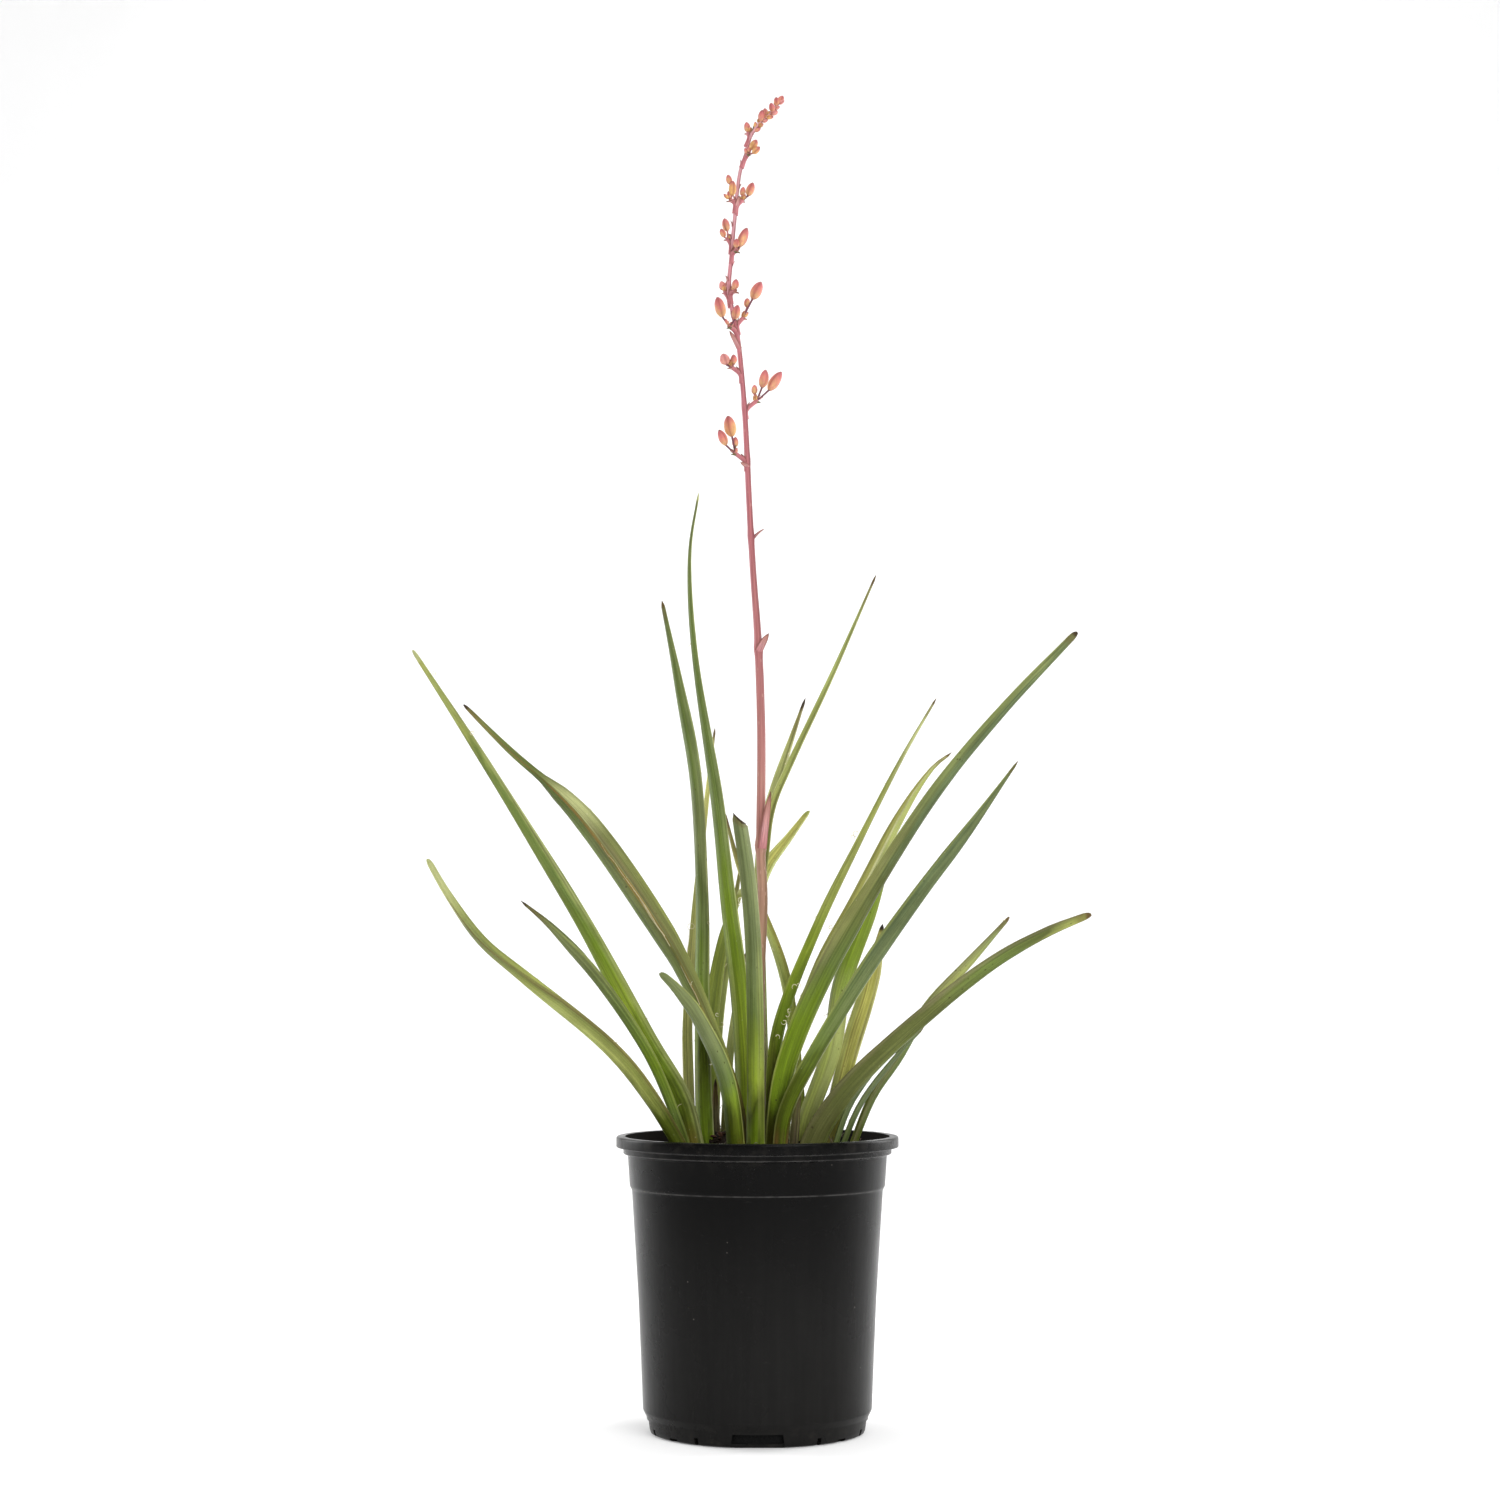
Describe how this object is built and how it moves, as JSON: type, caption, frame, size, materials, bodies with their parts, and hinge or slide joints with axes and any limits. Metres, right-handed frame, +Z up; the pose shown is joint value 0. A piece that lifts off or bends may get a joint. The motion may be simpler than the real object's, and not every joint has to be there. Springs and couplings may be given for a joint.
{
  "type": "potted red yucca",
  "caption": "Young red yucca with long channelled leaves in three crowns and one budding flower stalk, growing in a round black plastic nursery pot.",
  "frame": {"origin": "middle of the pot's underside, on the plane that it stands on", "axes": "+Z up along the pot's axis, -Y towards the viewer of the picture, +X to that viewer's right"},
  "size_m": [0.3978, 0.1986, 0.8058],
  "materials": {
    "pot": "black injection-moulded plastic, low sheen",
    "soil": "dark damp potting mix with bark",
    "leaf_green": "leathery green leaf, fine lengthwise grain",
    "leaf_blue": "leathery grey-green leaf with a waxy bloom",
    "leaf_olive": "leathery olive leaf with brown margins",
    "leaf_yellow": "leathery pale yellow-green leaf",
    "dry_sheath": "dry brown leaf sheath",
    "stalk": "smooth fleshy rose-pink flower stalk",
    "bud": "fleshy coral bud with a peach base"
  },
  "bodies": {
    "root": {"pot": "pot", "soil": "soil", "leaf_left_long": "leaf_green", "leaf_left_low": "leaf_yellow", "leaf_left_small": "leaf_green", "leaf_left_tall": "leaf_green", "leaf_left_back_thin": "leaf_yellow", "leaf_left_back": "leaf_green", "leaf_front_short": "leaf_blue", "leaf_centre_left": "leaf_olive", "leaf_centre_tallest": "leaf_green", "leaf_centre_blunt": "leaf_blue", "leaf_back_left_grey": "leaf_blue", "leaf_back_left_low": "leaf_blue", "leaf_back_yellow": "leaf_yellow", "leaf_back_olive": "leaf_olive", "leaf_back_tall": "leaf_green", "leaf_centre_right_thin": "leaf_green", "leaf_centre_right_long": "leaf_green", "leaf_right_yellow": "leaf_yellow", "leaf_right_middle": "leaf_blue", "leaf_right_wide": "leaf_green", "leaf_right_folded": "leaf_yellow", "leaf_right_long_low": "leaf_olive", "leaf_right_back_left": "leaf_olive", "leaf_right_low_back": "leaf_yellow", "leaf_right_young_outer": "leaf_green", "leaf_right_young_inner": "leaf_green", "dry_sheath_left": "dry_sheath", "dry_sheath_right": "dry_sheath", "flower_stalk": "stalk", "bud_spray_01": "bud", "bud_spray_02": "bud", "bud_spray_03": "bud", "bud_spray_04": "bud", "bud_spray_05": "bud", "bud_spray_06": "bud", "bud_spray_07": "bud", "bud_spray_08": "bud", "bud_spray_09": "bud", "bud_spray_10": "bud", "bud_spray_11": "bud", "bud_spray_12": "bud", "bud_spray_13": "bud"}
  },
  "joints": []
}
